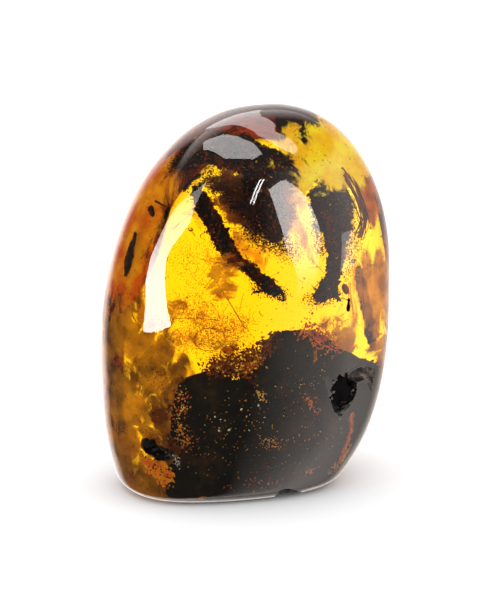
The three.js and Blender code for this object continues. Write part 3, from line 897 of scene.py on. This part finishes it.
def veil(name, rows, finish, ripple=1.0, to_base=False):
    """A thin curved film through rows of points in millimetres, rippled, and bent back behind pits.

    It thins out at its edges, save the lowest one where it goes down to the base.
    """
    bpy.ops.object.select_all(action="DESELECT")
    bpy.ops.mesh.primitive_grid_add(x_subdivisions=len(rows[0]) - 1, y_subdivisions=len(rows) - 1)
    film = name_piece(name)
    middle_share = film.data.attributes.new("middle_share", "FLOAT", "POINT")
    for corner, place in zip(film.data.vertices, [point for row in rows for point in row]):
        upwards = max(corner.co.y, 0.0) if to_base else abs(corner.co.y)
        middle_share.data[corner.index].value = 1.0 - max(abs(corner.co.x), upwards)
        corner.co = Vector(place) * MM
    rounding = film.modifiers.new("rounding", "SUBSURF")
    rounding.levels = 3
    add_waves(film, f"{name}_ripples", RIPPLE_GRAIN, ripple * MM, depth=2)
    thickness = film.modifiers.new("thickness", "SOLIDIFY")
    thickness.thickness = FILM_THICKNESS
    apply_modifiers(film)
    for corner in film.data.vertices:
        for pit_x, pit_z, reach in PIT_SPOTS:
            away = math.hypot(corner.co.x / MM - pit_x, corner.co.z / MM - pit_z) / reach
            if corner.co.y < 0 and away < PIT_MARGIN:
                corner.co.y += PIT_BEND * (1 - (away / PIT_MARGIN) ** 2)
    bpy.ops.object.shade_smooth()
    film.data.materials.append(finish)
    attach(film, "root")
    return film


# A film whose lowest edge is under this height, in millimetres, goes down to the base
BASE_LIMIT = 2


def skin_veil(name, turns, heights, depth, finish, ripple):
    """A veil a depth under the skin, between two turns from the front and two heights."""
    around = np.radians(np.linspace(*turns, 6))
    rows = []
    for height in np.linspace(*heights, 6):
        ring = [np.interp(height * MM, LEVELS, column) / MM for column in RINGS.T]
        middle_x, middle_y, half_x, half_y = ring
        side, front = half_x - depth, half_y - depth
        rows.append([
            (middle_x + side * math.sin(turn), middle_y - front * math.cos(turn), height)
            for turn in around
        ])
    return veil(name, rows, finish, ripple, to_base=heights[0] < BASE_LIMIT)


# Each film's finish: dark and light colour, stretch of its streaks, wisps per metre, cover, density
# and the share of the light that it lets through
VEIL_LOOKS = {
    # orange flame wisps, opaque: partly wisps and partly painted glow of light through the flank
    "flame_wisps_and_glow": ((0.70, 0.14, 0.002), (0.98, 0.48, 0.015), (1.0, 1.0, 0.3), 240, 0.56, 0.95, 0.1),
    "haze_veil": ((0.16, 0.06, 0.006), (0.70, 0.34, 0.03), (1.0, 1.0, 0.6), 320, 0.42, 0.9, 0.3),
    # dark brown opaque haze: partly dust, and at the foot painted shade where the floor under the amber is in
    # shadow
    "edge_haze_and_shade": ((0.12, 0.03, 0.003), (0.62, 0.24, 0.01), (1.0, 1.0, 0.8), 380, 0.46, 0.95, 0.0),
    "red_veil": ((0.22, 0.02, 0.001), (0.55, 0.13, 0.006), (0.6, 1.0, 1.0), 340, 0.3, 0.9, 0.1),
    "orange_veil": ((0.40, 0.09, 0.004), (0.85, 0.42, 0.03), (1.0, 1.0, 0.8), 420, 0.4, 0.9, 0.1),
    "thin_veil": ((0.30, 0.08, 0.004), (0.85, 0.42, 0.03), (1.0, 1.0, 0.25), 420, 0.45, 0.8, 0.4),
    "shoulder_veil": ((0.40, 0.10, 0.004), (0.90, 0.50, 0.03), (0.5, 1.0, 1.0), 620, 0.38, 0.85, 0.3),
    "rust_veil": ((0.25, 0.03, 0.002), (0.75, 0.22, 0.01), (1.0, 1.0, 0.16), 420, 0.43, 0.9, 0.3),
    "gold_veil": ((0.34, 0.18, 0.01), (1.0, 0.66, 0.05), (1.0, 1.0, 0.5), 300, 0.34, 0.85, 0.6),
    "smear_veil": ((0.05, 0.014, 0.002), (0.30, 0.10, 0.008), (0.7, 1.0, 1.0), 480, 0.6, 0.95, 0.3),
    # painted glow: an opaque bright yellow film that stands in for light through the dome
    "painted_glow_veil": ((0.95, 0.55, 0.02), (1.0, 0.92, 0.12), (1.0, 1.0, 0.6), 420, 0.68, 1.0, 0.0),
}
VEIL_FINISHES = {name: veil_material(name, *looks) for name, looks in VEIL_LOOKS.items()}

# Films under the skin: turns from the front in degrees, heights, depth, finish and ripple. On the
# left flank flames of orange, partly wisps and partly painted glow of light through the flank, above
# a brown haze. Dark brown hazes go down to the base, where they also paint the shade at the foot.
# Over the humus brown to red hazes that hide where it ends. On the right flank torn rusty wisps.
SKIN_VEILS = {
    "left_flame": ((-150, -38), (22, 60.2), 2.4, "flame_wisps_and_glow", 1.2),
    "left_haze": ((-150, 10), (1.2, 41), 1.1, "haze_veil", 1.0),
    "left_edge_haze": ((-60, -10), (1.2, 27), 0.6, "edge_haze_and_shade", 0.4),
    "shoulder_haze": ((-38, -8), (29.5, 43), 2.6, "shoulder_veil", 1.2),
    "mound_haze": ((-36, 6), (18, 29.5), 0.6, "red_veil", 0.4),
    "fan_haze": ((6, 52), (17, 33), 0.7, "orange_veil", 0.4),
    "low_stem_haze": ((44, 90), (12, 31), 2.6, "orange_veil", 0.6),
    "low_right_haze": ((20, 80), (1.2, 14), 0.6, "edge_haze_and_shade", 0.4),
    "right_wisps": ((24, 110), (18, 44), 3.4, "thin_veil", 1.0),
    "right_rust": ((30, 95), (38, 56), 1.8, "rust_veil", 0.8),
}
for name, (turns, heights, depth, finish, ripple) in SKIN_VEILS.items():
    skin_veil(name, turns, heights, depth, VEIL_FINISHES[finish], ripple)

# Behind the bark: a tall film with sparse wisps
veil("back_wisps", [
    [(-10.0, 5.0, 27.5), (-3.0, 3.0, 27.5), (7.0, 3.0, 27.5), (18.0, 4.0, 27.5)],
    [(-12.0, 7.0, 36.0), (-3.0, 4.0, 36.0), (7.0, 4.0, 36.0), (19.5, 5.0, 36.0)],
    [(-12.0, 6.0, 46.0), (-3.0, 4.0, 46.0), (7.0, 4.0, 46.0), (17.0, 4.0, 46.0)],
    [(-8.0, 4.0, 54.0), (-1.0, 3.0, 56.0), (7.0, 3.0, 56.0), (12.0, 3.0, 53.0)],
], VEIL_FINISHES["gold_veil"], ripple=2.0)

# Between the crown and the splinter: rotten wood dust, smeared out
veil("bark_smear", [
    [(-14.0, -2.0, 54.0), (-4.0, -3.0, 54.0), (6.0, -3.0, 53.0), (14.0, -3.0, 51.0)],
    [(-12.0, -3.0, 49.0), (-4.0, -3.8, 49.0), (4.0, -4.2, 48.0), (10.0, -4.2, 47.0)],
    [(-8.0, -4.2, 45.0), (-2.0, -4.6, 44.0), (3.0, -4.8, 42.0), (8.0, -4.8, 40.0)],
    [(-4.0, -5.0, 41.0), (0.0, -5.2, 39.0), (4.0, -5.4, 36.0), (9.0, -5.4, 34.0)],
], VEIL_FINISHES["smear_veil"], ripple=0.8)

# Under the dome on the right: a bright yellow film that paints the glow of light through the dome and turns
# the skin's rim gold
skin_veil("dome_gold", (-24, 165), (45.5, 60.2), 0.7, VEIL_FINISHES["painted_glow_veil"], ripple=0.6)

# The floor and the studio
# A white paper sweep, overexposed so that it shows plain white. Light comes through the amber from
# all round, and the polished skin mirrors a dim room with softboxes in it.
FLOOR_HALF = 600 * MM
BACKLIGHT = 2.3
SHOWN_WHITE = 1.0

bpy.ops.object.select_all(action="DESELECT")
bpy.ops.mesh.primitive_plane_add(size=2 * FLOOR_HALF)
floor = name_piece("floor")
paper = bpy.data.materials.new("white_paper")
paper.use_nodes = True
nodes, links = paper.node_tree.nodes, paper.node_tree.links
seen = nodes.new("ShaderNodeLightPath")
tone = nodes.new("ShaderNodeMix")
tone.data_type = "RGBA"
place = nodes.new("ShaderNodeTexCoord")
away = nodes.new("ShaderNodeVectorMath")
away.operation = "LENGTH"
links.new(place.outputs["Object"], away.inputs[0])
# Rays other than the camera's see the paper dark round the foot of the amber: a painted contact shadow that
# fades out from 18 to 50 mm
painted_shadow_round_base = nodes.new("ShaderNodeMapRange")
painted_shadow_round_base.interpolation_type = "SMOOTHSTEP"
painted_shadow_round_base.inputs["From Min"].default_value = 18 * MM
painted_shadow_round_base.inputs["From Max"].default_value = 50 * MM
painted_shadow_round_base.inputs["To Min"].default_value = 0.08
painted_shadow_round_base.inputs["To Max"].default_value = 0.95
links.new(away.outputs["Value"], painted_shadow_round_base.inputs["Value"])
links.new(painted_shadow_round_base.outputs["Result"], tone.inputs["A"])
tone.inputs["B"].default_value = (0.58, 0.58, 0.585, 1.0)
links.new(seen.outputs["Is Camera Ray"], tone.inputs["Factor"])
links.new(tone.outputs["Result"], nodes["Principled BSDF"].inputs["Base Color"])
nodes["Principled BSDF"].inputs["Roughness"].default_value = 1.0
nodes["Principled BSDF"].inputs["Specular IOR Level"].default_value = 0.0
floor.data.materials.append(paper)
floor.visible_glossy = False

# What the skin mirrors at each azimuth, 0 being the front and 90 the right: (azimuth, brightness)
ROOM = [
    (-180, 1.9), (-164, 1.5), (-152, 0.1), (10, 0.15), (30, 1.2),
    (56, 2.3), (76, 1.8), (110, 0.8), (150, 1.2), (180, 1.9),
]
ROOM_PEAK = 4.0
ROOM_TOP = 38
CEILING_FRONT = 0.3
CEILING_BACK = 3.2
TABLE_SHEEN = 0.15

world = bpy.data.worlds.new("studio")
world.use_nodes = True
nodes, links = world.node_tree.nodes, world.node_tree.links
heading = nodes.new("ShaderNodeTexCoord")
parts = nodes.new("ShaderNodeSeparateXYZ")
links.new(heading.outputs["Generated"], parts.inputs["Vector"])
towards_front = nodes.new("ShaderNodeMath")
towards_front.operation = "MULTIPLY"
towards_front.inputs[1].default_value = -1.0
links.new(parts.outputs["Y"], towards_front.inputs[0])
azimuth = nodes.new("ShaderNodeMath")
azimuth.operation = "ARCTAN2"
links.new(parts.outputs["X"], azimuth.inputs[0])
links.new(towards_front.outputs[0], azimuth.inputs[1])
turn_share = nodes.new("ShaderNodeMapRange")
turn_share.inputs["From Min"].default_value = -math.pi
turn_share.inputs["From Max"].default_value = math.pi
links.new(azimuth.outputs[0], turn_share.inputs["Value"])
walls = nodes.new("ShaderNodeValToRGB")
while len(walls.color_ramp.elements) < len(ROOM):
    walls.color_ramp.elements.new(0.5)
for stop, (angle, brightness) in zip(walls.color_ramp.elements, ROOM):
    stop.position = (angle + 180) / 360
    stop.color = (*[brightness / ROOM_PEAK] * 3, 1.0)
links.new(turn_share.outputs["Result"], walls.inputs["Fac"])
wall_light = nodes.new("ShaderNodeMath")
wall_light.operation = "MULTIPLY"
wall_light.inputs[1].default_value = ROOM_PEAK
links.new(walls.outputs["Color"], wall_light.inputs[0])
overhead = nodes.new("ShaderNodeMapRange")
overhead.inputs["From Min"].default_value = math.sin(math.radians(ROOM_TOP - 2))
overhead.inputs["From Max"].default_value = math.sin(math.radians(ROOM_TOP + 3))
links.new(parts.outputs["Z"], overhead.inputs["Value"])
mirrored = nodes.new("ShaderNodeMix")
links.new(overhead.outputs["Result"], mirrored.inputs["Factor"])
links.new(wall_light.outputs[0], mirrored.inputs["A"])
ceiling = nodes.new("ShaderNodeMapRange")
ceiling.inputs["From Min"].default_value = 0.25
ceiling.inputs["From Max"].default_value = 0.75
ceiling.inputs["To Min"].default_value = CEILING_FRONT
ceiling.inputs["To Max"].default_value = CEILING_BACK
links.new(parts.outputs["Y"], ceiling.inputs["Value"])
links.new(ceiling.outputs["Result"], mirrored.inputs["B"])
below = nodes.new("ShaderNodeMapRange")
below.inputs["From Min"].default_value = math.sin(math.radians(-16))
below.inputs["From Max"].default_value = math.sin(math.radians(-5))
below.inputs["To Min"].default_value = TABLE_SHEEN
below.inputs["To Max"].default_value = 0.0
links.new(parts.outputs["Z"], below.inputs["Value"])
all_round = nodes.new("ShaderNodeMath")
all_round.operation = "MAXIMUM"
links.new(mirrored.outputs["Result"], all_round.inputs[0])
links.new(below.outputs["Result"], all_round.inputs[1])
ray = nodes.new("ShaderNodeLightPath")
unseen = nodes.new("ShaderNodeMix")
unseen.inputs["A"].default_value = BACKLIGHT
links.new(ray.outputs["Is Glossy Ray"], unseen.inputs["Factor"])
links.new(all_round.outputs[0], unseen.inputs["B"])
shown = nodes.new("ShaderNodeMix")
shown.inputs["B"].default_value = SHOWN_WHITE
links.new(ray.outputs["Is Camera Ray"], shown.inputs["Factor"])
links.new(unseen.outputs["Result"], shown.inputs["A"])
links.new(shown.outputs["Result"], nodes["Background"].inputs["Strength"])
warmth = nodes.new("ShaderNodeMix")
warmth.data_type = "RGBA"
warmth.inputs["A"].default_value = (1.0, 1.0, 1.0, 1.0)
warmth.inputs["B"].default_value = (1.0, 0.91, 0.87, 1.0)
links.new(ray.outputs["Is Glossy Ray"], warmth.inputs["Factor"])
links.new(warmth.outputs["Result"], nodes["Background"].inputs["Color"])
bpy.context.scene.world = world
bpy.context.scene.view_settings.view_transform = "Standard"

# Softboxes, far enough away that every part of the skin mirrors them alike
CARD_DISTANCE = 3000 * MM
CARD_CENTRE = Vector((0, 0, 30 * MM))


def light_card(name, corners, faces, strength, fade=None):
    """A glowing card that only the polished skin mirrors, fading to (elevation, strength) upwards."""
    sheet = bpy.data.meshes.new(name)
    sheet.from_pydata([CARD_CENTRE + CARD_DISTANCE * Vector(corner) for corner in corners], [], faces)
    card = bpy.data.objects.new(name, sheet)
    bpy.context.scene.collection.objects.link(card)
    glow = bpy.data.materials.new(name)
    glow.use_nodes = True
    emitter = glow.node_tree.nodes.new("ShaderNodeEmission")
    emitter.inputs["Strength"].default_value = strength
    emitter.inputs["Color"].default_value = (1.0, 0.985, 0.97, 1.0)
    output = glow.node_tree.nodes["Material Output"]
    glow.node_tree.links.new(emitter.outputs["Emission"], output.inputs["Surface"])
    if fade:
        (low, low_strength), (high, high_strength) = fade
        place = glow.node_tree.nodes.new("ShaderNodeTexCoord")
        axes = glow.node_tree.nodes.new("ShaderNodeSeparateXYZ")
        rise = glow.node_tree.nodes.new("ShaderNodeMapRange")
        rise.inputs["From Min"].default_value = CARD_CENTRE.z + CARD_DISTANCE * math.sin(math.radians(low))
        rise.inputs["From Max"].default_value = CARD_CENTRE.z + CARD_DISTANCE * math.sin(math.radians(high))
        rise.inputs["To Min"].default_value = low_strength
        rise.inputs["To Max"].default_value = high_strength
        glow.node_tree.links.new(place.outputs["Object"], axes.inputs["Vector"])
        glow.node_tree.links.new(axes.outputs["Z"], rise.inputs["Value"])
        glow.node_tree.links.new(rise.outputs["Result"], emitter.inputs["Strength"])
    sheet.materials.append(glow)
    card.visible_camera = False
    card.visible_diffuse = False
    card.visible_transmission = False
    card.visible_shadow = False
    return card


def towards(azimuth_angle, elevation_angle):
    """The unit direction at an azimuth from the front and an elevation, in degrees."""
    around, up = math.radians(azimuth_angle), math.radians(elevation_angle)
    return math.sin(around) * math.cos(up), -math.cos(around) * math.cos(up), math.sin(up)


def strip_card(name, rows, strength, fade=None):
    """A tall softbox: each row is its elevation and the azimuths of its two edges."""
    corners = [towards(edge, row[0]) for row in rows for edge in row[1:]]
    faces = [(2 * i, 2 * i + 1, 2 * i + 3, 2 * i + 2) for i in range(len(rows) - 1)]
    return light_card(name, corners, faces, strength, fade)


strip_card("left_softbox", [
    (43, -32, -31), (40, -45, -31), (33, -65, -33), (26, -74, -34), (22, -77, -45),
    (18, -80, -52), (13, -84, -55), (7, -83, -50), (0, -76, -45), (-7, -75, -38),
], 18.0, fade=((8, 18.0), (36, 4.0)))
strip_card("right_softbox", [
    (32, 20, 22), (29, 14, 24), (22, 16, 28), (15, 18, 30),
    (9, 19, 31), (5, 20, 31), (0, 21, 31), (-6, 22, 29),
], 9.0, fade=((-6, 0.3), (14, 9.0)))
strip_card("lamp_tube_left", [(36.5, 10, 11), (25.5, 5.2, 6.2)], 19.0)
strip_card("lamp_tube_right", [(36.0, 11.6, 12.6), (25.0, 6.8, 7.8)], 19.0)
strip_card("side_card", [(7, 45, 54), (-3, 43, 53)], 4.5)

# Cards overhead, as the plan places of their corners for each unit of height
ceiling_card = [
    (-0.48, 0.51), (-0.20, 0.18), (0.09, -0.42), (0.18, -0.68), (0.10, -0.78), (-0.17, -0.60), (-0.53, 0.17),
]
ceiling_band = [
    (-0.32, 1.51), (-0.23, 0.81), (0.09, -0.08), (0.14, -0.25), (0.33, -0.56), (0.54, -0.76),
    (0.53, -0.61), (0.43, -0.42), (0.27, -0.18), (0.27, 0.04), (0.23, 0.51), (0.29, 0.96), (0.39, 1.3),
]
for name, plan, strength in (("ceiling_card", ceiling_card, 6.5), ("ceiling_band", ceiling_band, 5.4)):
    light_card(name, [(x, y, 1.0) for x, y in plan], [tuple(range(len(plan)))], strength)

# The camera: a long lens, a little above the amber and to its left
PICTURE_HEIGHT = 605
CAMERA_LOOK = Vector((0.45, 0.0, 30.5)) * MM
CAMERA_DISTANCE = 500 * MM
CAMERA_AZIMUTH = math.radians(-15)
CAMERA_ELEVATION = math.radians(15)
camera_side = Vector((
    math.sin(CAMERA_AZIMUTH) * math.cos(CAMERA_ELEVATION),
    -math.cos(CAMERA_AZIMUTH) * math.cos(CAMERA_ELEVATION),
    math.sin(CAMERA_ELEVATION),
))
lens = bpy.data.cameras.new("camera")
lens.lens = 189
lens.sensor_width = 36
lens.shift_x = -8 / PICTURE_HEIGHT
lens.shift_y = -8.2 / PICTURE_HEIGHT
camera = bpy.data.objects.new("camera", lens)
camera.location = CAMERA_LOOK + CAMERA_DISTANCE * camera_side
camera.rotation_euler = camera_side.to_track_quat("Z", "Y").to_euler()
bpy.context.scene.collection.objects.link(camera)
bpy.context.scene.camera = camera
